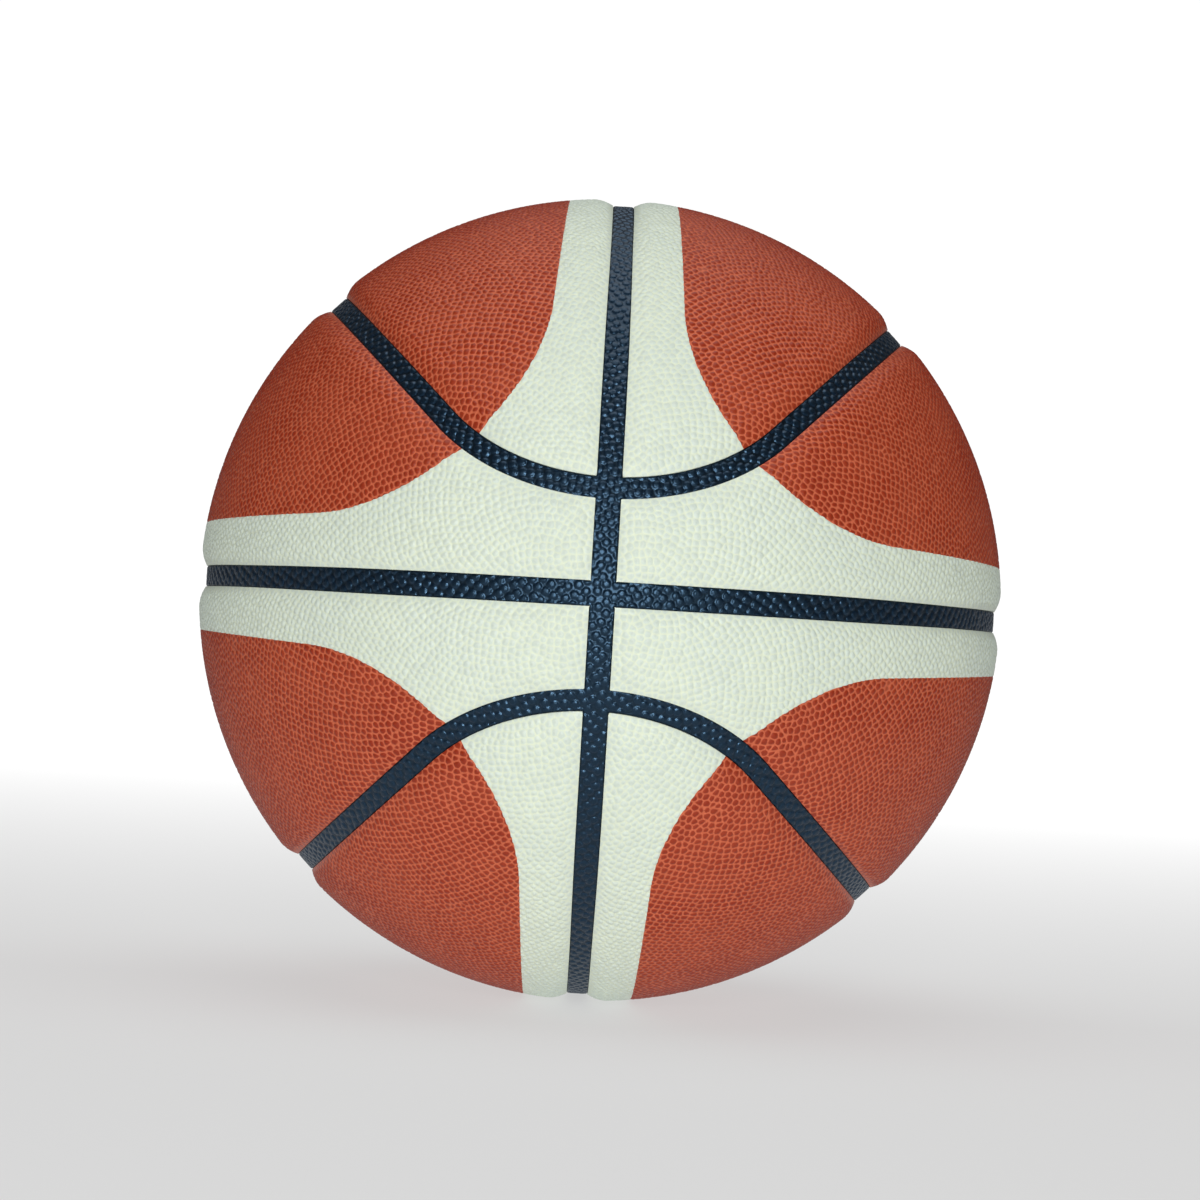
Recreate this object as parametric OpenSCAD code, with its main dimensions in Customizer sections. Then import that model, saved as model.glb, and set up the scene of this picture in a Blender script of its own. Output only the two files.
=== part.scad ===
// Inflated basketball with eight cover panels, pebbled black channels between them and a two-tone
// cover. The origin is the centre of the ball and +Z is up. The straight seams lie in the planes
// x = 0 and z = 0 and cross at the front and the back of the ball, on the Y axis.

/* [Ball] */
// Diameter over the crests of the cover panels
ball_d = 242; // [200:1:250]
// Width of the black channels
channel_w = 6.3; // [4:0.1:8]
// Depth of the channel floor below the crests
channel_depth = 2.2; // [1.4:0.1:2.4]
// Radius of the roll at a panel's edge, and of the hollow at its foot
roll_r = 7; // [4:0.5:9]

/* [Seam layout] */
// Angle from the straight seam up to the centre of a curved seam's front arc
arc_centre_angle = 42.6; // [38:0.1:46]
// Angle from the straight seams to the orange field where it is widest
field_side_angle = 7.6; // [7:0.1:12]
// Angular radius of the orange field's long sides
field_side_radius_angle = 79; // [70:1:85]
// Angle from the front of the ball to the centre of the orange field's tip arc
field_tip_angle = 53.6; // [50:0.1:58]

/* [Layers] */
// Thickness of the cover panels, composite leather on a cushion backing
cover_t = 2.6; // [2.5:0.1:4]
// Thickness of the rubber carcass under the cover
carcass_t = 1.2; // [0.8:0.1:3]
// Thickness of the thread winding
winding_t = 0.5; // [0.3:0.1:2]
// Thickness of the bladder wall
bladder_t = 0.8; // [0.6:0.1:2]
// Glue line between two layers
bond_t = 0.1; // [0.06:0.01:0.15]
// Hairline gap between the orange and the cream piece of a panel
colour_gap = 0.12; // [0.06:0.02:0.3]
// Height of a panel's thin edge above the channel floor
edge_lip = 0.15; // [0.05:0.05:0.4]

/* [Valve] */
// Angle of the valve from the back of the ball towards +X
valve_azimuth = 7.3; // [6.9:0.1:7.6]
// Angle of the valve above the straight seam
valve_elevation = 7.3; // [6.9:0.1:7.6]
// Diameter of the housing's neck
neck_d = 7; // [6:0.5:8]
// Depth of the neck's mouth below the crest
neck_recess = 0.3; // [0.1:0.1:0.6]
// Length of the housing's barrel inside the bladder
barrel_l = 12; // [8:1:20]
// Diameter of the barrel inside the bladder
barrel_d = 10; // [9:0.5:12]
// Diameter of the flange bonded to the bladder
flange_d = 22; // [16:1:30]
// Thickness of the flange
flange_t = 1; // [0.8:0.1:2]
// Diameter of the plug
plug_d = 4.4; // [4:0.1:5]
// Diameter of the hole for the inflation needle
needle_d = 1.9; // [1.6:0.1:2.2]
// Diameter of the funnel at the needle hole's mouth
funnel_d = 3; // [2.6:0.1:3.4]
// Depth of the funnel
funnel_depth = 0.8; // [0.5:0.1:1.2]
// Thickness of the housing's floor under the plug
floor_t = 1.5; // [1:0.1:3]
// Gap round the neck where it passes through the layers
neck_clearance = 0.15; // [0.1:0.05:0.3]

/* [Hidden] */
$fn = 144;

ball_r = ball_d / 2;
half_channel = channel_w / 2;
floor_r = ball_r - channel_depth;
edge_r = floor_r + edge_lip;
cover_in_r = ball_r - cover_t;
carcass_r = cover_in_r - bond_t;
winding_r = carcass_r - carcass_t - bond_t;
bladder_r = winding_r - winding_t - bond_t;
bladder_in_r = bladder_r - bladder_t;

// Side gap between a panel's edge and the rib of the carcass
rib_clearance = 0.1;
// Overrun of every cut past the surface that it cuts
over = 1;
// Height of the roll's arc above the crest where it is tallest, so that it crosses the crest and
// does not graze it
roll_rise = 0.02;

// The roll and the hollow at a panel's edge, as angles about the ball's centre
roll_centre_r = ball_r - roll_r + roll_rise;
foot_centre_r = edge_r + roll_r;
wall_angle = asin((half_channel + rib_clearance) / edge_r);
roll_span = acos((pow(roll_centre_r, 2) + pow(foot_centre_r, 2) - pow(2 * roll_r, 2))
                 / (2 * roll_centre_r * foot_centre_r));
roll_angle = wall_angle + roll_span;

// The curved seams: an arc at the front and at the back, and a great circle on each side. The arc
// is a circle on the ball that touches the great circle, and its centre stands at arc_centre_angle.
arc_radius_angle = asin(sin(arc_centre_angle) / sqrt(2));
arc_turn = acos(tan(arc_radius_angle) / tan(arc_centre_angle));
diagonal_turn = 2 * asin(cos(arc_centre_angle) / cos(arc_radius_angle));

// The orange field: two long arcs and two tip arcs that touch them. The centre of the long arc
// beside the upright seam lies in the plane y = 0, side_axis_angle away from the top of the ball.
side_axis_angle = field_side_angle + field_side_radius_angle;
side_to_tip = acos((sin(side_axis_angle) + cos(side_axis_angle)) * sin(field_tip_angle) / sqrt(2));
tip_radius = field_side_radius_angle - side_to_tip;

side_half_turn = atan2(cos(field_tip_angle) * sqrt(2),
                       (sin(side_axis_angle) - cos(side_axis_angle)) * sin(field_tip_angle));
gap_angle = asin(colour_gap / 2 / ball_r);

orange = [0.62, 0.27, 0.18];
cream = [0.86, 0.89, 0.82];
blue_black = [0.12, 0.18, 0.25];

// Radii that every cut through the cover runs from and to
cut_in_r = cover_in_r - over;
far_share = 1.5;
cut_far_r = far_share * ball_r;
// How far a front or back arc turns past the upright seam
over_turn = 3;
// Where an arc of a seam touches a great circle or another arc, one of the two runs on into the
// other by this angle, and lies back from it by the step, so that they cross and do not graze
join_turn = 3;
rib_join_turn = 0.5;
join_step = 0.02;
join_angle = asin(join_step / ball_r);
// How much thinner a cap panel is, on each face, inside its front and back arcs
skin_step = 3 * join_step;
// Angle round an arc's centre that lies in the upright channel
core_angle = wall_angle / 2;
// Angles that a quarter's panels reach away from the curved seam, past the straight seams
panel_reach_angle = 48;
side_arc_reach_angle = 33;
// Angle that a cut along a straight seam reaches past it
seam_reach_angle = 42;
// The plain shell of a cream cap piece is turned about an axis that stands this far from +Z, and
// lies between two angles from it
cap_shell_tilt_angle = 75;
cap_shell_from_angle = 40;
cap_shell_to_angle = 100;
// Height over the diagonal plane, as a share of the ball's radius, where a cream side piece's shell ends
side_shell_share = 0.26;
// How far the cuts along a front or back arc run on past it, and how far they reach from the seam
arc_run_on_angle = 5;
arc_reach_angle = 36;
// How much shallower the rolled edges are along the upright seam and along the level seam, so that
// the edges of crossing cuts do not meet in points
x_lift = 0.15;
z_lift = 0.08;
// Angle that the orange field reaches inwards from a long side
field_reach_angle = 45;

// Point of a profile, at a distance from the ball's centre and an angle from upright
function spoke(r, a) = [r * sin(a), r * cos(a)];

// Points along an arc of the roll or the hollow, from one angle to another, both from upright
roll_steps = 3;
function arc_points(centre, from, to) = [
    for (i = [0:roll_steps]) centre + spoke(roll_r, from + (to - from) * i / roll_steps)
];

// Section of what is cut away at one edge of a panel: the channel, all beyond it and the air over
// the rolled edge. The channel stands upright, and the panel lies to its right, or to its left
// where side is -1.
module edge_profile(side, reach, lift) {
    wall_x = half_channel + rib_clearance;
    roll_centre = spoke(roll_centre_r + lift, roll_angle);
    foot_centre = spoke(foot_centre_r + lift, wall_angle);
    bend = (foot_centre - roll_centre) / 2;
    bend_angle = atan2(bend.x, bend.y);
    mirror([side < 0 ? 1 : 0, 0])
        polygon(concat(
            [[wall_x, cut_in_r]],
            arc_points(foot_centre, wall_angle + 180, bend_angle + 180),
            arc_points(roll_centre, bend_angle, roll_angle),
            [
                spoke(cut_far_r, roll_angle),
                spoke(cut_far_r, -reach / 2),
                spoke(cut_far_r, -reach),
                spoke(cut_in_r, -reach)
            ]
        ));
}

// Turns an upright section about +Z, with its upright line at an angle from +Z
module turned(polar, from, turn) {
    rotate([0, 0, from]) rotate_extrude(angle = turn) rotate(-polar) children();
}

// Places what is modelled round +Z at the centre of the upper front arc, with -Y downwards
module at_arc_centre() {
    rotate([90 - arc_centre_angle, 0, 0]) children();
}

// Places what is modelled round +Z on the diagonal great circle, with the cap panel above it
module at_diagonal() {
    rotate([0, -45, 0]) children();
}

// Part of a ring between two angles from upright
module ring_section(outer_r, inner_r, from, to) {
    intersection() {
        difference() {
            circle(outer_r);
            circle(inner_r);
        }
        polygon([
            [0, 0],
            spoke(cut_far_r, from),
            spoke(cut_far_r, (from + to) / 2),
            spoke(cut_far_r, to)
        ]);
    }
}

// Turns the section of a panel about +Z. The panel reaches from the seam, which is an angle from +Z,
// and has its rolled edge there. side is -1 where the panel lies above the seam. Both faces of the
// panel lie back by the step.
module panel_sector(seam, side, reach, from, turn, step) {
    low = min(seam, seam + side * reach);
    high = max(seam, seam + side * reach);
    rotate([0, 0, from])
        rotate_extrude(angle = turn)
            difference() {
                ring_section(ball_r - step, cover_in_r + step, low, high);
                rotate(-seam) edge_profile(side, over_turn, 0);
            }
}

// Repeats at the back what is made at the front
module front_and_back() {
    children();
    mirror([0, 1, 0]) children();
}

// Panels of the upper right quarter, in three parts that join where the arcs touch the great circle
module cap_panel() {
    front_and_back()
        at_arc_centre()
            panel_sector(arc_radius_angle - join_angle, -1, arc_radius_angle - core_angle, 0, 360,
                         skin_step);
    at_diagonal()
        panel_sector(90, -1, panel_reach_angle, -diagonal_turn / 2, diagonal_turn, 0);
}

module side_panel() {
    front_and_back()
        at_arc_centre()
            panel_sector(arc_radius_angle, 1, side_arc_reach_angle, -90 - over_turn,
                         arc_turn + over_turn, 0);
    at_diagonal()
        panel_sector(90 + join_angle, 1, panel_reach_angle,
                     -diagonal_turn / 2 - join_turn, diagonal_turn + 2 * join_turn, 0);
}

// Cut along a straight seam, which leaves the side of +Z
module straight_seam_cut(lift) {
    turned(90, 0, 360) edge_profile(-1, seam_reach_angle, lift);
}

// Places what is modelled round +Z at the centre of the front tip arc, with the tip at -Y
module at_tip_centre() {
    rotate([0, -45, 0]) rotate([0, 0, field_tip_angle - 90]) rotate([0, 90, 0]) children();
}

// Part of the orange field inside a long arc, beside the upright seam for a cap panel and beside the
// level seam for a side panel, grown by an angle
module field_middle(cap, growth) {
    far = field_side_radius_angle + growth;
    rotate([0, cap ? side_axis_angle : 90 - side_axis_angle, 0])
        rotate([0, 0, cap ? 180 - side_half_turn : -side_half_turn])
            rotate_extrude(angle = 2 * side_half_turn)
                ring_section(cut_far_r, cut_in_r, far - field_reach_angle, far);
}

// Parts of the orange field inside the tip arcs
module field_tips(growth) {
    front_and_back()
        at_tip_centre()
            cylinder(h = ball_r + over, r1 = 0,
                     r2 = (ball_r + over) * tan(tip_radius + growth - join_angle));
}

module orange_field(cap) {
    field_middle(cap, -gap_angle);
    field_tips(-gap_angle);
}

module orange_cap() {
    intersection() {
        cap_panel();
        orange_field(true);
    }
}

module orange_side() {
    intersection() {
        side_panel();
        orange_field(false);
    }
}

// Plain shell on the cap panel's side of the diagonal
module cap_shell() {
    block = ball_r + over;
    difference() {
        rotate([0, cap_shell_tilt_angle, 0])
            rotate_extrude(angle = 360)
                ring_section(ball_r, cover_in_r, cap_shell_from_angle, cap_shell_to_angle);
        at_diagonal()
            translate([-block, -block, -2 * block])
                cube(2 * block);
    }
}

// Plain shell beside the level seam, without what lies far on the cap panel's side
module side_shell() {
    block = ball_r + over;
    difference() {
        rotate([0, 0, -90])
            rotate_extrude(angle = 180)
                ring_section(ball_r, cover_in_r, 90 - panel_reach_angle, 90);
        at_diagonal()
            translate([-block, -block, side_shell_share * ball_r])
                cube(2 * block);
    }
}

// Cream cap piece before its outer edges are cut. Here and below, each cut is made on its own.
module cream_cap_blank() {
    difference() {
        difference() {
            cap_shell();
            field_middle(true, gap_angle);
        }
        field_tips(gap_angle);
    }
}

module cream_cap() {
    difference() {
        difference() {
            cream_cap_blank();
            front_and_back()
                at_arc_centre()
                    turned(arc_radius_angle, -90 - over_turn, arc_turn + over_turn + arc_run_on_angle)
                        edge_profile(-1, arc_reach_angle, 0);
        }
        rotate([0, 90, 0]) straight_seam_cut(x_lift);
    }
}

// Cream side piece before its edges along the straight seams are cut
module cream_side_blank() {
    difference() {
        difference() {
            difference() {
                side_shell();
                front_and_back()
                    at_arc_centre()
                        turned(arc_radius_angle, 0, 360)
                            edge_profile(1, arc_radius_angle - core_angle, 0);
            }
            field_middle(false, gap_angle);
        }
        field_tips(gap_angle);
    }
}

module cream_side() {
    difference() {
        difference() {
            cream_side_blank();
            straight_seam_cut(z_lift);
        }
        rotate([0, 90, 0]) straight_seam_cut(x_lift);
    }
}

module leftwards() {
    mirror([1, 0, 0]) children();
}

module downwards() {
    mirror([0, 0, 1]) children();
}

// Places what is modelled round +Z, outwards, at the valve
module at_valve() {
    rotate([0, 0, -valve_azimuth]) rotate([valve_elevation - 90, 0, 0]) children();
}

module valve_hole() {
    at_valve() cylinder(h = ball_r + over, d = neck_d + 2 * neck_clearance);
}

module orange_cap_upper_left() {
    color(orange) leftwards() orange_cap();
}

module orange_cap_upper_right() {
    color(orange) orange_cap();
}

module orange_cap_lower_left() {
    color(orange) downwards() leftwards() orange_cap();
}

module orange_cap_lower_right() {
    color(orange) downwards() orange_cap();
}

module cream_cap_upper_left() {
    color(cream) leftwards() cream_cap();
}

module cream_cap_upper_right() {
    color(cream) cream_cap();
}

module cream_cap_lower_left() {
    color(cream) downwards() leftwards() cream_cap();
}

module cream_cap_lower_right() {
    color(cream) downwards() cream_cap();
}

module orange_side_upper_left() {
    color(orange) leftwards() orange_side();
}

module orange_side_upper_right() {
    color(orange) orange_side();
}

module orange_side_lower_left() {
    color(orange) downwards() leftwards() orange_side();
}

module orange_side_lower_right() {
    color(orange) downwards() orange_side();
}

module cream_side_upper_left() {
    color(cream) leftwards() cream_side();
}

// This one has the hole for the valve
module cream_side_upper_right() {
    color(cream)
        difference() {
            cream_side();
            valve_hole();
        }
}

module cream_side_lower_left() {
    color(cream) downwards() leftwards() cream_side();
}

module cream_side_lower_right() {
    color(cream) downwards() cream_side();
}

// Hollow ball with a hole for the valve
module layer(outer_r, inner_r) {
    difference() {
        sphere(outer_r);
        sphere(inner_r);
        valve_hole();
    }
}

module bladder() {
    color("dimgray") layer(bladder_r, bladder_in_r);
}

module thread_winding() {
    color("ivory") layer(winding_r, winding_r - winding_t);
}

// Section of a channel's floor standing upright, smaller by a step on each side
module rib_profile(step) {
    rib_base_r = carcass_r - carcass_t / 2;
    translate([step - half_channel, rib_base_r + 3 * step])
        square([channel_w - 2 * step, ball_r - rib_base_r - 6 * step]);
}

// The channels as walls through the ball's skin, with the air above them
module channels() {
    turned(90, 0, 360) rib_profile(0);
    rotate([0, 90, 0]) turned(90, 0, 360) rib_profile(0);
    for (down = [false, true])
        mirror([0, 0, down ? 1 : 0]) {
            front_and_back()
                at_arc_centre()
                    turned(arc_radius_angle, -90 - arc_turn, 2 * arc_turn)
                        rib_profile(join_step);
            for (left = [false, true])
                mirror([left ? 1 : 0, 0, 0])
                    at_diagonal()
                        turned(90, -diagonal_turn / 2 - rib_join_turn, diagonal_turn + 2 * rib_join_turn)
                            rib_profile(2 * join_step);
        }
}

// Ball with its poles turned away from the channels
pole_turn = [35, 30, 20];
module turned_ball(r) {
    rotate(pole_turn) sphere(r);
}

// Rubber skin with the raised ribs that are the channels' floors
module carcass() {
    color(blue_black)
        difference() {
            union() {
                turned_ball(carcass_r);
                intersection() {
                    turned_ball(floor_r);
                    channels();
                }
            }
            sphere(carcass_r - carcass_t);
            valve_hole();
        }
}

// Sizes of the valve, which is modelled round +Z with its mouth upwards
flange_r = bladder_in_r - bond_t;
barrel_z = flange_r - flange_t - barrel_l;
mouth_z = ball_r - neck_recess;
plug_z = barrel_z + floor_t;
// Gap round the plug, which is pressed in
plug_clearance = 0.02;

module valve_housing() {
    color([0.16, 0.16, 0.17])
        at_valve()
            difference() {
                union() {
                    intersection() {
                        difference() {
                            sphere(flange_r);
                            sphere(flange_r - flange_t);
                        }
                        cylinder(h = ball_r, d = flange_d);
                    }
                    translate([0, 0, barrel_z]) cylinder(h = barrel_l + flange_t / 2, d = barrel_d);
                    translate([0, 0, barrel_z + barrel_l])
                        cylinder(h = mouth_z - barrel_z - barrel_l, d = neck_d);
                }
                translate([0, 0, plug_z]) cylinder(h = ball_r, d = plug_d + 2 * plug_clearance);
                translate([0, 0, barrel_z - over]) cylinder(h = floor_t + 2 * over, d = needle_d);
            }
}

module valve_plug() {
    color([0.08, 0.08, 0.08])
        at_valve()
            difference() {
                translate([0, 0, plug_z]) cylinder(h = mouth_z - plug_z, d = plug_d);
                translate([0, 0, plug_z - over]) cylinder(h = ball_r, d = needle_d);
                translate([0, 0, mouth_z - funnel_depth])
                    cylinder(h = funnel_depth, d1 = needle_d, d2 = funnel_d);
            }
}

bladder();
valve_housing();
valve_plug();
thread_winding();
carcass();
orange_cap_upper_left();
orange_cap_upper_right();
orange_cap_lower_left();
orange_cap_lower_right();
cream_cap_upper_left();
cream_cap_upper_right();
cream_cap_lower_left();
cream_cap_lower_right();
orange_side_upper_left();
orange_side_upper_right();
orange_side_lower_left();
orange_side_lower_right();
cream_side_upper_left();
cream_side_upper_right();
cream_side_lower_left();
cream_side_lower_right();
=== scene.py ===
import math

import bpy
import numpy as np
from mathutils import Matrix, Vector
from mathutils.kdtree import KDTree


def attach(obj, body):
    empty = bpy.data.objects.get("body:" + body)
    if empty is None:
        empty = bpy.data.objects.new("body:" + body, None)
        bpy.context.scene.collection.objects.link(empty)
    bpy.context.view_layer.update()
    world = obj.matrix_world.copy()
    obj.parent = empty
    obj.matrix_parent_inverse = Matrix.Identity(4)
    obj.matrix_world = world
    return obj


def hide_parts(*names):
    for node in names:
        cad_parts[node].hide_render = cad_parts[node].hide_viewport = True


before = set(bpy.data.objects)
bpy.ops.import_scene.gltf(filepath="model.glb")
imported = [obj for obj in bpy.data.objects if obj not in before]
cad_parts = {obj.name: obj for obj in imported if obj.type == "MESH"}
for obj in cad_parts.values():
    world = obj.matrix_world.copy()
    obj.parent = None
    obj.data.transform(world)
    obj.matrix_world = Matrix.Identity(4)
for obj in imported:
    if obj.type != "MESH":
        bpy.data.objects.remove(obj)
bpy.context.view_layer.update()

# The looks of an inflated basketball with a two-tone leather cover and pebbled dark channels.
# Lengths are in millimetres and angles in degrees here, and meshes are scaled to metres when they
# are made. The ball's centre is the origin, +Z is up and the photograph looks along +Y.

MM = 0.001

# Ball and channels
BALL_R = 121.1
CHANNEL_FLOOR_R = 118.7
HALF_CHANNEL = 3.2
CHANNEL_SWELL = 0.35
SWELL_START = 0.5
SWELL_LENGTH = 0.4
ROLL_RISE = 1.9
ROLL_WIDTH = 6.2
SKIN_FOOT_R = 117.4

# Seam layout. Everything in it is an angle on the ball, the radii too.
ARC_CENTRE_ANGLE = 42.6
FIELD_SIDE_ANGLE = 7.6
FIELD_SIDE_RADIUS = 79
FIELD_TIP_ANGLE = 53.6

# Leather pebbles
PEBBLE_PITCH = 2.1
PEBBLE_HEIGHT = 0.42
PEBBLE_SHOULDER = 1.3
PEBBLE_JITTER = 0.24
PEBBLE_FADE = 2.5
NET_REACH = 1.2
COLOUR_GROOVE_WIDTH = 0.5
COLOUR_GROOVE_DEPTH = 0.1

# Pebbles of the channels, which are discs, and the low bank beside them, which drops again at the
# panel's edge
STUD_PITCH = 2.75
STUD_JITTER = 0.12
STUD_R = 1.3
STUD_RIM = 0.45
STUD_HEIGHT = 0.4
STUD_DOME_SHARE = 0.3
STUD_BAND = 2.6
STUD_FADE = 0.5
BANK_HEIGHT = 0.2
BANK_WIDTH = 0.7
LIP_WIDTH = 0.3
BORDER_FADE = 0.25

# Valve
VALVE_AZIMUTH = 7.3
VALVE_ELEVATION = 7.3
VALVE_HOLE_R = 3.65

# How finely the balls that the meshes come from are divided: edges on each side of an
# icosahedron's face
SKIN_DIVISIONS = 340
CHANNEL_DIVISIONS = 415
CORE_DIVISIONS = 40
# Smaller triangles than this, in square millimetres, are dropped
SLIVER_AREA = 1e-4

# The plain ball under the channels: how far their walls reach into it, and how far it keeps off
# the valve's hole
CORE_R = 118.1
CORE_COVER = 0.3
CORE_HOLE_MARGIN = 4

# How many sides a turned mesh has
SEGMENTS = 96

SEED = 7


# Directions on the ball

def unit(v):
    v = np.asarray(v, float)
    return v / np.linalg.norm(v, axis=-1, keepdims=True)


def cos_deg(a):
    return math.cos(math.radians(a))


def sin_deg(a):
    return math.sin(math.radians(a))


def angle_to(p, axis):
    """Angle in degrees between each direction and an axis."""
    return np.degrees(np.arccos(np.clip(p @ axis, -1, 1)))


def folded(p):
    """Every quarter, front and back, laid over the one where x, y and z are positive."""
    return np.abs(p)


ARC_CENTRE = np.array([0, cos_deg(ARC_CENTRE_ANGLE), sin_deg(ARC_CENTRE_ANGLE)])
DIAGONAL_POLE = unit([-1, 0, 1])
ARC_RADIUS = math.degrees(math.asin(sin_deg(ARC_CENTRE_ANGLE) / math.sqrt(2)))
ARC_SIDE = unit(np.cross(DIAGONAL_POLE, ARC_CENTRE))
ARC_SIDE = ARC_SIDE * np.sign(ARC_SIDE[1])

SIDE_AXIS_ANGLE = FIELD_SIDE_ANGLE + FIELD_SIDE_RADIUS
SIDE_AXIS = np.array([sin_deg(SIDE_AXIS_ANGLE), 0, cos_deg(SIDE_AXIS_ANGLE)])
TIP_CENTRE = np.array([
    sin_deg(FIELD_TIP_ANGLE) / math.sqrt(2),
    cos_deg(FIELD_TIP_ANGLE),
    sin_deg(FIELD_TIP_ANGLE) / math.sqrt(2),
])
TIP_RADIUS = FIELD_SIDE_RADIUS - math.degrees(math.acos(SIDE_AXIS @ TIP_CENTRE))
TIP_SIDE = unit(np.cross(SIDE_AXIS, TIP_CENTRE))
TIP_SIDE = TIP_SIDE * np.sign(TIP_SIDE[1])

VALVE = np.array([
    cos_deg(VALVE_ELEVATION) * sin_deg(VALVE_AZIMUTH),
    cos_deg(VALVE_ELEVATION) * cos_deg(VALVE_AZIMUTH),
    sin_deg(VALVE_ELEVATION),
])


def arc_length(degrees):
    return BALL_R * np.radians(degrees)


# Distances over the ball's skin, in millimetres

def channel_swell(p):
    """How much wider each half of the two straight channels is towards the front and the back."""
    return CHANNEL_SWELL * smooth_step((np.abs(p[:, 1]) - SWELL_START) / SWELL_LENGTH)


def from_upright_seam(p):
    return BALL_R * np.arcsin(np.abs(p[:, 0])) - channel_swell(p)


def from_level_seam(p):
    return BALL_R * np.arcsin(np.abs(p[:, 2])) - channel_swell(p)


def above_curved_seam(p):
    """Positive on the cap panels and negative on the side panels."""
    q = folded(p)
    arc = ARC_RADIUS - angle_to(q, ARC_CENTRE)
    great_circle = 90 - angle_to(q, DIAGONAL_POLE)
    return arc_length(np.where(q @ ARC_SIDE > 0, arc, great_circle))


def outside_channels(p):
    """Distance from the nearest edge of a channel, negative inside it."""
    nearest = np.minimum(from_upright_seam(p), from_level_seam(p))
    nearest = np.minimum(nearest, np.abs(above_curved_seam(p)))
    return nearest - HALF_CHANNEL


def inside_orange(p):
    """Distance from the border between the two colours, positive on the orange side."""
    q = folded(p)
    side = above_curved_seam(p) < 0
    q[side] = q[side][:, ::-1]
    long_arc = FIELD_SIDE_RADIUS - angle_to(q, SIDE_AXIS)
    tip_arc = TIP_RADIUS - angle_to(q, TIP_CENTRE)
    return arc_length(np.where(q @ TIP_SIDE > 0, tip_arc, long_arc))


def outside_valve(p):
    return arc_length(angle_to(p, VALVE)) - VALVE_HOLE_R


# Profiles

def smooth_step(t):
    t = np.clip(t, 0, 1)
    return t * t * (3 - 2 * t)


def depth_beside_seam(distance):
    """Depth below the crest at a distance from a seam, where the panel's edge is rolled down."""
    left = 1 - np.clip((distance - HALF_CHANNEL) / ROLL_WIDTH, 0, 1)
    return ROLL_RISE * left ** 2


def softly_deeper(a, b):
    """The larger of two depths, with a soft corner where they are alike."""
    return np.minimum((a ** 3 + b ** 3) ** (1 / 3), ROLL_RISE)


def panel_depth(p):
    upright = depth_beside_seam(from_upright_seam(p))
    level = depth_beside_seam(from_level_seam(p))
    curved = depth_beside_seam(np.abs(above_curved_seam(p)))
    return softly_deeper(softly_deeper(upright, level), curved)


# Pebbles, as points spread evenly over the ball and then shifted a little

def spread_points(pitch, jitter, rng):
    count = round(4 * math.pi * BALL_R ** 2 / (pitch ** 2 * math.sqrt(3) / 2))
    i = np.arange(count) + 0.5
    height = 1 - 2 * i / count
    turn = i * math.pi * (1 + math.sqrt(5))
    ring = np.sqrt(1 - height ** 2)
    p = np.stack([ring * np.cos(turn), height, ring * np.sin(turn)], axis=1)
    return unit(p + rng.uniform(-jitter, jitter, p.shape) * pitch / BALL_R)


def nearest_two(p, points):
    """Distance to the nearest point, how much farther the next one is, and the first's index."""
    tree = KDTree(len(points))
    for i, point in enumerate(points):
        tree.insert(point, i)
    tree.balance()
    first = np.empty(len(p))
    second = np.empty(len(p))
    index = np.empty(len(p), int)
    for i, q in enumerate(p.tolist()):
        (_, index[i], first[i]), (_, _, second[i]) = tree.find_n(q, 2)
    return first * BALL_R, (second - first) * BALL_R, index


# The skin as a net of small triangles

def icosahedron():
    golden = (1 + math.sqrt(5)) / 2
    corners = []
    for a in (-1, 1):
        for b in (-golden, golden):
            corners += [(0, a, b), (a, b, 0), (b, 0, a)]
    corners = unit(np.array(corners))
    near = np.sort(np.linalg.norm(corners[0] - corners, axis=1))[1] * 1.01
    close = np.linalg.norm(corners[:, None] - corners[None], axis=2) < near
    faces = []
    for a in range(12):
        for b in range(a + 1, 12):
            for c in range(b + 1, 12):
                if close[a, b] and close[b, c] and close[a, c]:
                    outward = np.linalg.det(corners[[a, b, c]]) > 0
                    faces.append((a, b, c) if outward else (a, c, b))
    return corners, faces


def divided_ball(divisions):
    """Directions and triangles of an icosahedron whose faces are divided and blown up to a ball."""
    corners, faces = icosahedron()
    steps = np.arange(divisions + 1)
    rows, columns = np.meshgrid(steps, steps, indexing="ij")
    keep = rows + columns <= divisions
    rows, columns = rows[keep], columns[keep]
    shares = np.stack([divisions - rows - columns, rows, columns], axis=1) / divisions
    number = np.full((divisions + 2, divisions + 2), -1)
    number[rows, columns] = np.arange(len(rows))
    low = rows + columns < divisions
    r, c = rows[low], columns[low]
    upward = np.stack([number[r, c], number[r + 1, c], number[r, c + 1]], axis=1)
    inner = rows + columns < divisions - 1
    r, c = rows[inner], columns[inner]
    downward = np.stack([number[r + 1, c], number[r + 1, c + 1], number[r, c + 1]], axis=1)
    pattern = np.vstack([upward, downward])
    side = math.acos(corners[faces[0][0]] @ corners[faces[0][1]])
    weights = np.sin(shares * side)
    points = np.vstack([unit(weights @ corners[list(f)]) for f in faces])
    triangles = np.vstack([pattern + i * len(rows) for i in range(len(faces))])
    # points on shared edges are made once: a key is one whole number for each place
    per_unit, base = 1e7, 40000003
    key = np.round(points * per_unit).astype(np.int64) @ np.array([1, base, base ** 2])
    _, first, back = np.unique(key, return_index=True, return_inverse=True)
    return points[first], back[triangles]


def sides_of(triangles):
    """All sides of all triangles, so that an edge between two of them is there twice."""
    return np.vstack([triangles[:, [0, 1]], triangles[:, [1, 2]], triangles[:, [2, 0]]])


def edges_of(triangles):
    """Both ends of each edge, with every edge there once."""
    pairs = np.sort(sides_of(triangles), axis=1)
    base = triangles.max() + 1
    coded = np.unique(pairs[:, 0] * base + pairs[:, 1])
    return coded // base, coded % base


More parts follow.
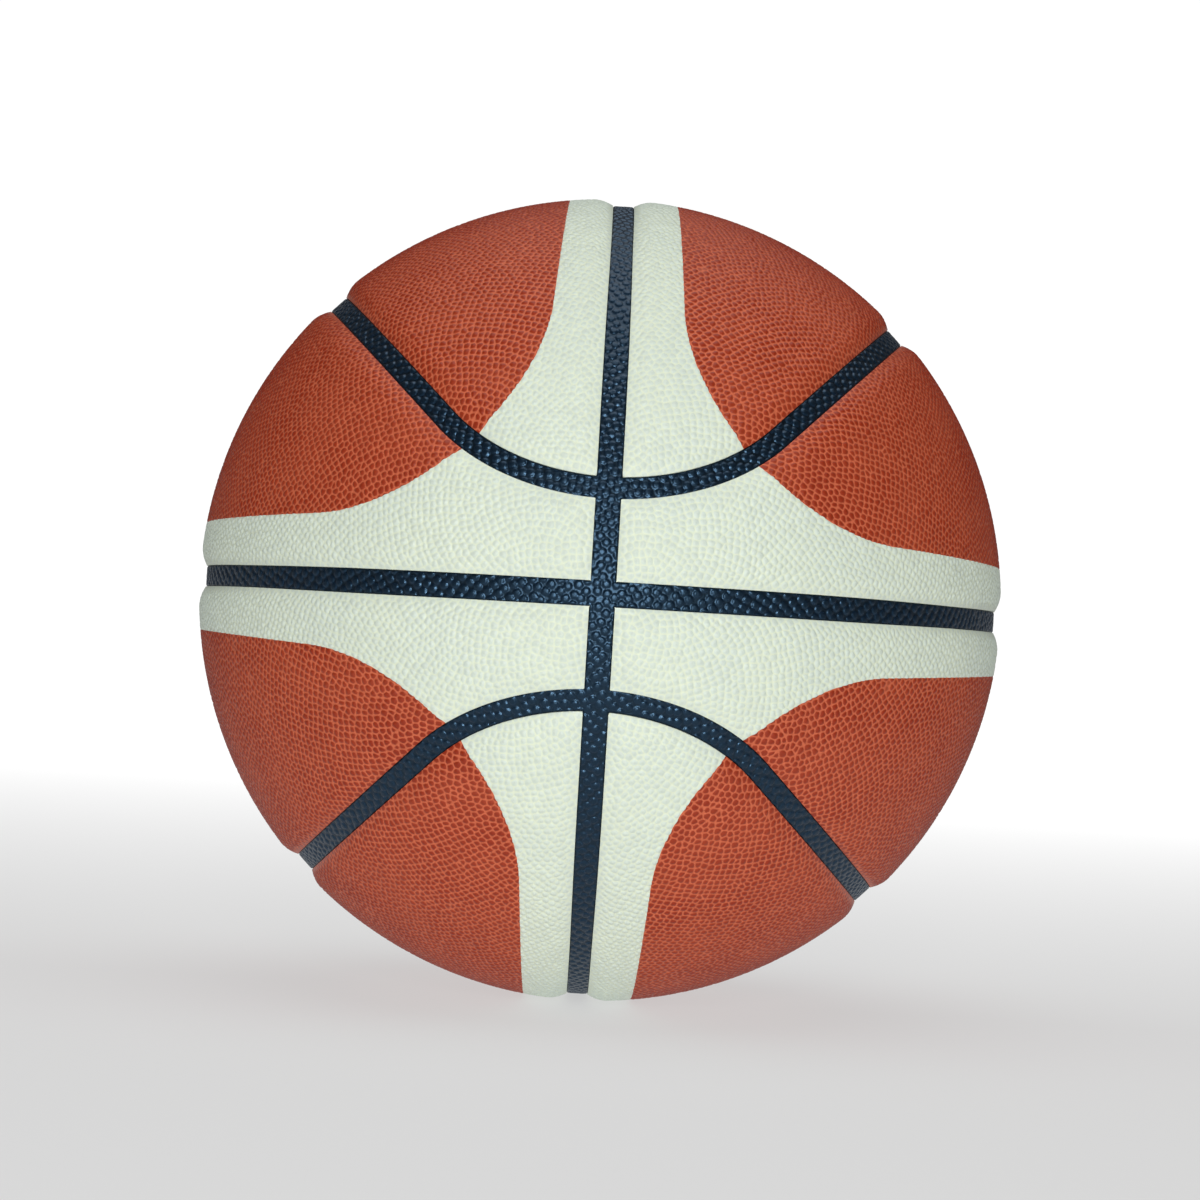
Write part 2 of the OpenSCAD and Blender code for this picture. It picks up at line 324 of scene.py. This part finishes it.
def settle(p, edges, distance, movable):
    """Moves points that lie close to a border onto it, so that no edge crosses the border."""
    level = distance(p)
    a, b = edges
    crossing = level[a] * level[b] < 0
    a, b = a[crossing], b[crossing]
    b_moves = movable[b] & (~movable[a] | (np.abs(level[b]) < np.abs(level[a])))
    moved = np.unique(np.where(b_moves, b, a))
    moved = moved[movable[moved]]
    step = 1e-5
    least_slope = 1e3
    rounds = 3
    for _ in range(rounds):
        q = p[moved]
        here = distance(q)
        slope = np.stack([
            (distance(unit(q + step * axis)) - here) / step for axis in np.eye(3)
        ], axis=1)
        steep = np.maximum((slope ** 2).sum(axis=1), least_slope)
        p[moved] = unit(q - slope * (here / steep)[:, None])
    return moved


def without_slivers(p, triangles):
    a, b, c = (p[triangles[:, i]] for i in range(3))
    area = np.linalg.norm(np.cross(b - a, c - a), axis=1) / 2 * BALL_R ** 2
    return triangles[area > SLIVER_AREA]


def middles(p, triangles):
    return unit(p[triangles].mean(axis=1))


def only(p, triangles, picked):
    """The picked triangles with just the points that they use, and where those points come from."""
    used, back = np.unique(triangles[picked], return_inverse=True)
    return p[used], back.reshape(-1, 3), used


def skin_net():
    """The ball's directions and triangles, with the borders of the pieces along their edges."""
    p, triangles = divided_ball(SKIN_DIVISIONS)
    edges = edges_of(triangles)
    movable = np.ones(len(p), bool)
    clear_of_channels = 0.02
    for distance in (outside_channels, outside_valve, inside_orange):
        if distance is inside_orange:
            movable &= outside_channels(p) > clear_of_channels
        movable[settle(p, edges, distance, movable)] = False
    return p, without_slivers(p, triangles)


def channel_net():
    """A finer net of the channels alone."""
    margin = 1
    p, triangles = divided_ball(CHANNEL_DIVISIONS)
    p, triangles, _ = only(p, triangles, outside_channels(middles(p, triangles)) < margin)
    settle(p, edges_of(triangles), outside_channels, np.ones(len(p), bool))
    triangles = without_slivers(p, triangles)
    p, triangles, _ = only(p, triangles, outside_channels(middles(p, triangles)) < 0)
    return p, triangles


# Meshes

def add_mesh(name, vertices, triangles, attributes=None):
    """Smooth mesh in metres from vertices in millimetres."""
    mesh = bpy.data.meshes.new(name)
    mesh.vertices.add(len(vertices))
    mesh.vertices.foreach_set("co", (vertices * MM).astype(np.float32).ravel())
    mesh.loops.add(3 * len(triangles))
    mesh.loops.foreach_set("vertex_index", triangles.astype(np.int32).ravel())
    mesh.polygons.add(len(triangles))
    mesh.polygons.foreach_set("loop_start", np.arange(len(triangles), dtype=np.int32) * 3)
    mesh.polygons.foreach_set("use_smooth", np.ones(len(triangles), bool))
    for key, values in (attributes or {}).items():
        layer = mesh.attributes.new(key, "FLOAT", "POINT")
        layer.data.foreach_set("value", values.astype(np.float32))
    mesh.update(calc_edges=True)
    obj = bpy.data.objects.new(name, mesh)
    bpy.context.scene.collection.objects.link(obj)
    return obj


def with_skirt(directions, radii, triangles, attributes, foot_r):
    """Adds a wall along the open edges, down to foot_r, with a sharp corner at its top."""
    pairs = sides_of(triangles)
    base = len(directions)
    forward = pairs[:, 0] * base + pairs[:, 1]
    open_edge = ~np.isin(forward, pairs[:, 1] * base + pairs[:, 0])
    a, b = pairs[open_edge].T
    rim, back = np.unique(np.concatenate([a, b]), return_inverse=True)
    a, b = back[:len(a)], back[len(a):]
    top = base + np.arange(len(rim))
    foot = top + len(rim)
    wall = np.vstack([
        np.stack([top[a], foot[a], foot[b]], axis=1),
        np.stack([top[a], foot[b], top[b]], axis=1),
    ])
    vertices = np.vstack([
        directions * radii[:, None],
        directions[rim] * radii[rim][:, None],
        directions[rim] * foot_r,
    ])
    attributes = {k: np.concatenate([v, v[rim], v[rim]]) for k, v in attributes.items()}
    return vertices, np.vstack([triangles, wall]), attributes


def piece_of_skin(p, triangles, picked, radii, attributes, foot_r):
    """One piece's share of the skin, with its own vertices."""
    own_p, own_triangles, used = only(p, triangles, picked)
    own = {k: v[used] for k, v in attributes.items()}
    return with_skirt(own_p, radii[used], own_triangles, own, foot_r)


def rounded(profile, r, steps=4):
    """A closed outline's points with each corner cut to a small arc."""
    result = []
    n = len(profile)
    for i in range(n):
        corner = Vector(profile[i])
        before = Vector(profile[i - 1]) - corner
        after = Vector(profile[(i + 1) % n]) - corner
        reach = min(r, before.length / 3, after.length / 3)
        start = corner + before.normalized() * reach
        end = corner + after.normalized() * reach
        for k in range(steps + 1):
            t = k / steps
            result.append((1 - t) ** 2 * start + 2 * t * (1 - t) * corner + t ** 2 * end)
    return result


def turned_points(outline):
    """Points of an outline of (distance from the axis, height along it), turned about +Z."""
    angle = np.arange(SEGMENTS) * 2 * math.pi / SEGMENTS
    return np.stack([
        np.outer(np.cos(angle), outline[:, 0]),
        np.outer(np.sin(angle), outline[:, 0]),
        np.broadcast_to(outline[:, 1], (SEGMENTS, len(outline))),
    ], axis=2).reshape(-1, 3)


def turned(name, profile, direction):
    """Ring-shaped mesh from a closed outline, with its axis along a direction."""
    outline = np.array([tuple(v) for v in profile])
    n = len(outline)
    turn = np.array(Vector((0, 0, 1)).rotation_difference(Vector(direction)).to_matrix())
    i, j = np.meshgrid(np.arange(SEGMENTS), np.arange(n), indexing="ij")
    a = (i * n + j).ravel()
    b = ((i + 1) % SEGMENTS * n + j).ravel()
    c = ((i + 1) % SEGMENTS * n + (j + 1) % n).ravel()
    d = (i * n + (j + 1) % n).ravel()
    faces = np.vstack([np.stack([a, b, c], axis=1), np.stack([a, c, d], axis=1)])
    return add_mesh(name, turned_points(outline) @ turn.T, faces)


# Materials

class Nodes:
    """Short hand for a material's nodes."""

    def __init__(self, name):
        self.material = bpy.data.materials.new(name)
        self.material.use_nodes = True
        self.tree = self.material.node_tree
        self.shader = self.tree.nodes["Principled BSDF"]

    def add(self, kind, **settings):
        node = self.tree.nodes.new(kind)
        for key, value in settings.items():
            setattr(node, key, value)
        return node

    def link(self, source, target):
        self.tree.links.new(source, target)

    def attribute(self, name):
        return self.add("ShaderNodeAttribute", attribute_name=name).outputs["Fac"]

    def place(self):
        return self.add("ShaderNodeTexCoord").outputs["Object"]

    def noise(self, size, detail=3.0):
        """Noise with features of about that size in millimetres."""
        node = self.add("ShaderNodeTexNoise")
        node.inputs["Scale"].default_value = 1 / (size * MM)
        node.inputs["Detail"].default_value = detail
        self.link(self.place(), node.inputs["Vector"])
        return node.outputs["Fac"]

    def spread(self, value, low, high, to_low=0.0, to_high=1.0):
        """A value's stretch from low to high, spread from to_low to to_high and cut off there."""
        node = self.add("ShaderNodeMapRange")
        node.inputs["From Min"].default_value = low
        node.inputs["From Max"].default_value = high
        node.inputs["To Min"].default_value = to_low
        node.inputs["To Max"].default_value = to_high
        self.link(value, node.inputs["Value"])
        return node.outputs["Result"]

    def calculate(self, operation, *values):
        node = self.add("ShaderNodeMath", operation=operation)
        for socket, value in zip(node.inputs, values):
            if isinstance(value, (int, float)):
                socket.default_value = value
            else:
                self.link(value, socket)
        return node.outputs["Value"]

    def mixed(self, factor, first, second):
        """Mix of two colours, each a socket or a plain colour."""
        node = self.add("ShaderNodeMix", data_type="RGBA")
        self.link(factor, node.inputs["Factor"])
        for socket, colour in ((node.inputs[6], first), (node.inputs[7], second)):
            if isinstance(colour, tuple):
                socket.default_value = colour
            else:
                self.link(colour, socket)
        return node.outputs[2]

    def add_grey(self, value):
        """Grey whose brightness is the given value."""
        node = self.add("ShaderNodeCombineColor")
        for socket in node.inputs:
            self.link(value, socket)
        return node.outputs["Color"]

    def bump(self, height, distance):
        node = self.add("ShaderNodeBump")
        node.inputs["Distance"].default_value = distance * MM
        self.link(height, node.inputs["Height"])
        self.link(node.outputs["Normal"], self.shader.inputs["Normal"])


def linear(red, green, blue):
    """Colour for a shader from the values of 0 to 255 that a screen shows."""
    def one(v):
        v = v / 255
        return v / 12.92 if v < 0.04045 else ((v + 0.055) / 1.055) ** 2.4
    return (one(red), one(green), one(blue), 1.0)


def darker(colour, share):
    return tuple(share * c for c in colour[:3]) + (1.0,)


# Where the net's lines begin and where they are full, as values of "net"
NET_START = 0.47
NET_FULL = 0.82
# The middle of each pebble is darker, some pebbles are darker than others, and wide patches of
# the leather are paler. Each has its share in the mix.
MIDDLE_START = 0.55
MIDDLE_SHARE = 0.35
MIDDLE_BRIGHTNESS = 0.55
TONE_SHARE = 0.22
TONE_BRIGHTNESS = 0.72
PATCH_SIZE = 18.0
PATCH_START = 0.35
PATCH_FULL = 0.65
PATCH_SHARE = 0.12
PEBBLE_ROUGHNESS = 0.4
NET_ROUGHNESS = 0.6


def leather(name, pebble, net, contrast, gloss):
    """Pebbled composite leather: darker pebbles in a lighter net, whose paleness is partly the
    grain's own and partly a painted highlight.
    """
    m = Nodes(name)
    dot = m.attribute("dot")
    line = m.spread(m.attribute("net"), NET_START, NET_FULL)
    tone = m.attribute("tone")
    # The net's lighter colour is partly the leather's own grain and partly a painted highlight
    # along the lines between the pebbles.
    colour = m.mixed(m.spread(line, 0.0, 1.0, to_high=contrast), pebble, net)
    middle = m.spread(dot, MIDDLE_START, 1.0, to_high=MIDDLE_SHARE * contrast)
    colour = m.mixed(middle, colour, darker(pebble, MIDDLE_BRIGHTNESS))
    shade = m.spread(tone, 0.0, 1.0, to_high=TONE_SHARE)
    colour = m.mixed(shade, colour, darker(pebble, TONE_BRIGHTNESS))
    patches = m.spread(m.noise(PATCH_SIZE), PATCH_START, PATCH_FULL, to_high=PATCH_SHARE)
    colour = m.mixed(patches, colour, net)
    m.link(colour, m.shader.inputs["Base Color"])
    roughness = m.spread(line, 0.0, 1.0, PEBBLE_ROUGHNESS, NET_ROUGHNESS)
    m.link(roughness, m.shader.inputs["Roughness"])
    m.shader.inputs["Specular IOR Level"].default_value = gloss
    m.bump(m.noise(0.5, 4.0), 0.02)
    return m.material


def channel_rubber():
    """Blue-black rubber whose disc rims are glossier and carry a painted highlight, with painted
    shade on the floor between the discs and along the channel's edge.
    """
    floor, disc, rim_highlight, edge = (
        linear(1, 3, 6), linear(4, 16, 28), linear(26, 50, 76), linear(3, 5, 9))
    rim_highlight_share = 0.4
    m = Nodes("channel_rubber_look")
    rim = m.attribute("net")
    # The floor between the discs is painted darker than the discs: painted shade in the recesses.
    colour = m.mixed(m.attribute("dot"), floor, disc)
    # The rims are painted lighter: a painted highlight where the discs' sides catch the light.
    colour = m.mixed(m.spread(rim, 0.0, 1.0, to_high=rim_highlight_share), colour, rim_highlight)
    # A thin strip along the channel's edge is painted nearly black: painted shade in the corner
    # against the panel's wall.
    colour = m.mixed(m.attribute("border"), colour, edge)
    m.link(colour, m.shader.inputs["Base Color"])
    m.shader.inputs["Specular IOR Level"].default_value = 0.75
    m.shader.inputs["Specular Tint"].default_value = (0.34, 0.64, 1.0, 1.0)
    roughness = m.spread(rim, 0.0, 1.0, to_low=0.36, to_high=0.24)
    m.link(roughness, m.shader.inputs["Roughness"])
    m.bump(m.noise(0.8), 0.12)
    return m.material


def plain_rubber(name, colour, roughness):
    m = Nodes(name)
    patches = m.spread(m.noise(2.0), 0.3, 0.7, to_high=0.4)
    m.link(m.mixed(patches, colour, darker(colour, 0.6)), m.shader.inputs["Base Color"])
    m.shader.inputs["Roughness"].default_value = roughness
    m.bump(m.noise(0.6, 4.0), 0.03)
    return m.material


def thread_look():
    """Nylon thread wound over the bladder in crossing turns."""
    m = Nodes("nylon_thread_look")
    wave = m.add("ShaderNodeTexWave", wave_type="BANDS", bands_direction="DIAGONAL")
    wave.inputs["Scale"].default_value = 1 / (2 * MM)
    wave.inputs["Distortion"].default_value = 6.0
    m.link(m.place(), wave.inputs["Vector"])
    colour = m.mixed(wave.outputs["Fac"], linear(150, 145, 130), linear(225, 220, 205))
    m.link(colour, m.shader.inputs["Base Color"])
    m.shader.inputs["Roughness"].default_value = 0.7
    m.bump(wave.outputs["Fac"], 0.3)
    return m.material


# Cover and channels

def make_cover():
    """The sixteen leather pieces, and then the channels between them."""
    rng = np.random.default_rng(SEED)
    p, triangles = skin_net()
    pebbles = spread_points(PEBBLE_PITCH, PEBBLE_JITTER, rng)
    studs = spread_points(STUD_PITCH, STUD_JITTER, rng)
    tones = rng.random(len(pebbles))
    outside = outside_channels(p)
    border = inside_orange(p)

    to_pebble, spare, which = nearest_two(p, pebbles)
    depth = panel_depth(p)
    fade = smooth_step(outside / PEBBLE_FADE)
    shape = smooth_step(spare / PEBBLE_SHOULDER)
    groove = np.clip(1 - np.abs(border) / COLOUR_GROOVE_WIDTH, 0, 1)
    leather_r = BALL_R - depth - PEBBLE_HEIGHT * fade * (1 - shape) - COLOUR_GROOVE_DEPTH * groove
    leather_look = {
        "dot": smooth_step(1 - to_pebble / (PEBBLE_PITCH / 2)),
        "net": np.clip(1 - spare / NET_REACH, 0, 1),
        "tone": tones[which],
    }

    centre = middles(p, triangles)
    in_channel = outside_channels(centre) < 0
    in_cap = above_curved_seam(centre) > 0
    in_orange = inside_orange(centre) > 0
    in_hole = outside_valve(centre) < 0
    upper = centre[:, 2] > 0
    left = centre[:, 0] < 0

    looks = {
        "orange": leather("orange_leather_look", pebble=linear(152, 45, 14),
                          net=linear(214, 109, 74), contrast=1.0, gloss=0.3),
        "cream": leather("cream_leather_look", pebble=linear(218, 230, 218),
                         net=linear(237, 244, 213), contrast=0.65, gloss=0.35),
    }
    for colour, of_colour in (("orange", in_orange), ("cream", ~in_orange)):
        for panel, of_panel in (("cap", in_cap), ("side", ~in_cap)):
            for height, of_height in (("upper", upper), ("lower", ~upper)):
                for hand, of_hand in (("left", left), ("right", ~left)):
                    node = f"{colour}_{panel}_{height}_{hand}"
                    picked = of_colour & of_panel & of_height & of_hand & ~in_channel & ~in_hole
                    parts = piece_of_skin(
                        p, triangles, picked, leather_r, leather_look, SKIN_FOOT_R)
                    obj = add_mesh(node + "_leather", *parts)
                    obj.data.materials.append(looks[colour])
                    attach(obj, "root")
                    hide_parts(node)

    make_channels(studs)


def make_channels(studs):
    """The pebbled channels, on a plain ball that closes them from below."""
    p, triangles = channel_net()
    outside = np.minimum(outside_channels(p), 0)
    across = outside + HALF_CHANNEL
    to_stud = nearest_two(p, studs)[0]
    band = 1 - smooth_step((across - STUD_BAND) / STUD_FADE)
    dome = np.clip(1 - (to_stud / STUD_R) ** 2, 0, 1)
    rim = smooth_step((STUD_R - to_stud) / STUD_RIM)
    stud = (STUD_DOME_SHARE * dome + (1 - STUD_DOME_SHARE) * rim) * band
    bank = smooth_step((across - (HALF_CHANNEL - BANK_WIDTH)) / BANK_WIDTH)
    lip = smooth_step((outside + LIP_WIDTH) / LIP_WIDTH)
    radii = CHANNEL_FLOOR_R + STUD_HEIGHT * stud + BANK_HEIGHT * (bank - lip)
    # "net" is 1 halfway down a disc's side, and 0 on its top and on the floor; the painted
    # # highlight on the rims follows it
    look = {
        # "dot" is 1 on the discs, and the floor around them, where it is 0, is painted darker as
        # shade
        "dot": rim * band,
        "net": 4 * rim * (1 - rim) * band,
        # "border" is 1 along the channel's edge, where the rubber is painted nearly black as shade
        "border": smooth_step((outside + LIP_WIDTH) / BORDER_FADE),
    }
    vertices, faces, attributes = with_skirt(p, radii, triangles, look, CORE_R - CORE_COVER)
    core, core_faces = divided_ball(CORE_DIVISIONS)
    away = outside_valve(middles(core, core_faces)) > CORE_HOLE_MARGIN
    faces = np.vstack([faces, core_faces[away] + len(vertices)])
    attributes = {k: np.concatenate([v, np.zeros(len(core))]) for k, v in attributes.items()}
    obj = add_mesh("carcass_channels", np.vstack([vertices, core * CORE_R]), faces, attributes)
    obj.data.materials.append(channel_rubber())
    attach(obj, "root")
    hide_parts("carcass")


# Valve: radii, and heights along its axis from the ball's centre

FLANGE_TOP = 115.4
FLANGE_T = 1
BARREL_FOOT = 102.5
BARREL_R = 5
FLANGE_R = 11
NECK_R = 3.5
MOUTH = 120.7
PLUG_R = 2.2
PLUG_FOOT = 104
NEEDLE_R = 0.95
FUNNEL_R = 1.5
FUNNEL_DEPTH = 0.8
FLANGE_SLOPE = 0.5
BORE_CLEARANCE = 0.03
PLUG_SINK = 0.05
VALVE_ROUNDING = 0.25


def make_valve():
    bore_r = PLUG_R + BORE_CLEARANCE
    plug_top = MOUTH - PLUG_SINK
    housing = [
        (NEEDLE_R, BARREL_FOOT), (BARREL_R, BARREL_FOOT), (BARREL_R, FLANGE_TOP - FLANGE_T),
        (FLANGE_R, FLANGE_TOP - FLANGE_T - FLANGE_SLOPE), (FLANGE_R, FLANGE_TOP - FLANGE_SLOPE),
        (NECK_R, FLANGE_TOP), (NECK_R, MOUTH), (bore_r, MOUTH), (bore_r, PLUG_FOOT),
        (NEEDLE_R, PLUG_FOOT),
    ]
    plug = [
        (NEEDLE_R, PLUG_FOOT), (PLUG_R, PLUG_FOOT), (PLUG_R, plug_top), (FUNNEL_R, plug_top),
        (NEEDLE_R, MOUTH - FUNNEL_DEPTH),
    ]
    for name, outline, look in (
        ("valve_housing", housing, plain_rubber("valve_housing_look", linear(40, 42, 46), 0.5)),
        ("valve_plug", plug, plain_rubber("valve_plug_look", linear(24, 25, 28), 0.4)),
    ):
        obj = turned(name + "_rubber", rounded(outline, VALVE_ROUNDING), VALVE)
        obj.data.materials.append(look)
        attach(obj, "root")
        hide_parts(name)


def dress_inside():
    """Materials of the layers inside, which keep their CAD meshes."""
    for node, look in (
        ("bladder", plain_rubber("bladder_rubber_look", linear(34, 34, 36), 0.5)),
        ("thread_winding", thread_look()),
    ):
        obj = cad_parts[node]
        obj.data.materials.clear()
        obj.data.materials.append(look)


# Studio

# The camera's distance in ball radii, the angles by which the ball is turned in the photograph, and
# the tangent of half the photograph's angle of view
CAMERA_DISTANCE = 8.5
BALL_TURN = -3.39
BALL_TILT = 0.79
BALL_LEAN = -0.36
HALF_VIEW_TANGENT = 0.1773

FLOOR_Z = -120.5
BOWL_R = 2600
BOWL_FILLET = 900
BOWL_HEIGHT = 3000
BOWL_STEPS = 24

# A stretch of floor and wall behind the ball glows almost white, dimmer near the ball and brighter
# # farther back, and the rest glows grey; this glow lights the ball too. These are in metres, as
# the
# # material reads them: how much wider the stretch gets with its distance, and where it begins and
# # ends beside that, along the view and in height.
STRETCH_WIDENING = 0.21
STRETCH_SIDE = (0.2, 0.45)
STRETCH_FRONT = (-0.9, -0.45)
STRETCH_TOP = (0.75, 1.1)
GLOW_DEPTH = 1.5
WALL_FOOT = 0.7
NEAR_GLOW = 0.54
FAR_GLOW = 0.97
SIDE_FLOOR_GLOW = 0.25
SIDE_WALL_GLOW = 0.06
FLOOR_GREY = 0.22
WALL_GREY = 0.1

# Lights: like a flash above the lens, a wide soft one above, and the room. Power is in watts.
KEY_PLACE = (20, -1500, 190)
KEY_WIDTH = 240
KEY_LENGTH = 700
KEY_POWER = 13.5
TOP_HEIGHT = 2200
TOP_WIDTH = 2400
TOP_POWER = 23
ROOM_STRENGTH = 0.1


def camera_frame():
    """From the camera's axes, with x to the right and y into the picture, to the ball's."""
    turn = Matrix.Rotation(math.radians(BALL_TURN), 3, "Y")
    tilt = Matrix.Rotation(math.radians(BALL_TILT), 3, "X")
    lean = Matrix.Rotation(math.radians(BALL_LEAN), 3, "Z")
    return turn @ tilt @ lean


def make_camera():
    view = camera_frame()
    data = bpy.data.cameras.new("camera")
    data.sensor_width = 36
    data.lens = data.sensor_width / 2 / HALF_VIEW_TANGENT
    data.clip_start = 0.01
    camera = bpy.data.objects.new("camera", data)
    bpy.context.scene.collection.objects.link(camera)
    look = view @ Matrix.Rotation(math.radians(90), 3, "X")
    place = view @ Vector((0, -CAMERA_DISTANCE * BALL_R * MM, 0))
    camera.matrix_world = Matrix.Translation(place) @ look.to_4x4()
    bpy.context.scene.camera = camera


def make_backdrop():
    """Pale bowl whose floor curves up into its wall, so that no horizon shows, and whose glow
    lights the ball.
    """
    outline = [(0.0, FLOOR_Z), (BOWL_R - BOWL_FILLET, FLOOR_Z)]
    for k in range(1, BOWL_STEPS + 1):
        a = math.radians(90 * k / BOWL_STEPS)
        outline.append((BOWL_R - BOWL_FILLET + BOWL_FILLET * math.sin(a),
                        FLOOR_Z + BOWL_FILLET * (1 - math.cos(a))))
    outline.append((BOWL_R, BOWL_HEIGHT))
    outline = np.array(outline)
    n = len(outline)
    i, j = np.meshgrid(np.arange(SEGMENTS), np.arange(n - 1), indexing="ij")
    a = (i * n + j).ravel()
    b = ((i + 1) % SEGMENTS * n + j).ravel()
    faces = np.vstack([np.stack([a, b + 1, b], axis=1), np.stack([a, a + 1, b + 1], axis=1)])
    backdrop = add_mesh("backdrop", turned_points(outline), faces)
    m = Nodes("backdrop_look")
    m.shader.inputs["Roughness"].default_value = 0.9
    m.shader.inputs["Specular IOR Level"].default_value = 0
    m.shader.inputs["Emission Color"].default_value = (1, 1, 1, 1)
    place = m.add("ShaderNodeSeparateXYZ")
    m.link(m.place(), place.inputs[0])
    across, along, height = (place.outputs[axis] for axis in "XYZ")
    grey = m.spread(height, 0.0, WALL_FOOT, FLOOR_GREY, WALL_GREY)
    m.link(m.add_grey(grey), m.shader.inputs["Base Color"])
    widening = m.calculate("MULTIPLY", along, STRETCH_WIDENING)
    beside = m.calculate("SUBTRACT", m.calculate("ABSOLUTE", across), widening)
    stretch = m.spread(beside, *STRETCH_SIDE, 1.0, 0.0)
    stretch = m.calculate("MULTIPLY", stretch, m.spread(along, *STRETCH_FRONT))
    stretch = m.calculate("MULTIPLY", stretch, m.spread(height, *STRETCH_TOP, 1.0, 0.0))
    pale = m.spread(along, 0.0, GLOW_DEPTH, NEAR_GLOW, FAR_GLOW)
    plain = m.spread(height, 0.0, WALL_FOOT, SIDE_FLOOR_GLOW, SIDE_WALL_GLOW)
    more = m.calculate("MULTIPLY", stretch, m.calculate("SUBTRACT", pale, plain))
    m.link(m.calculate("ADD", more, plain), m.shader.inputs["Emission Strength"])
    backdrop.data.materials.append(m.material)


def area_light(name, place, width, length, power):
    """A soft light that points at the ball's centre."""
    data = bpy.data.lights.new(name, "AREA")
    data.shape = "ELLIPSE"
    data.size = width * MM
    data.size_y = length * MM
    data.energy = power
    light = bpy.data.objects.new(name, data)
    bpy.context.scene.collection.objects.link(light)
    at = Vector(place) * MM
    aim = (Vector() - at).to_track_quat("-Z", "Y").to_matrix().to_4x4()
    light.matrix_world = Matrix.Translation(at) @ aim


def make_lights():
    area_light("key", camera_frame() @ Vector(KEY_PLACE), KEY_WIDTH, KEY_LENGTH, KEY_POWER)
    area_light("top", (0, 0, TOP_HEIGHT), TOP_WIDTH, TOP_WIDTH, TOP_POWER)
    world = bpy.data.worlds.new("studio")
    world.use_nodes = True
    background = world.node_tree.nodes["Background"]
    background.inputs["Color"].default_value = (1, 1, 1, 1)
    background.inputs["Strength"].default_value = ROOM_STRENGTH
    bpy.context.scene.world = world
    bpy.context.scene.view_settings.view_transform = "Standard"


make_camera()
make_backdrop()
make_lights()
make_cover()
make_valve()
dress_inside()
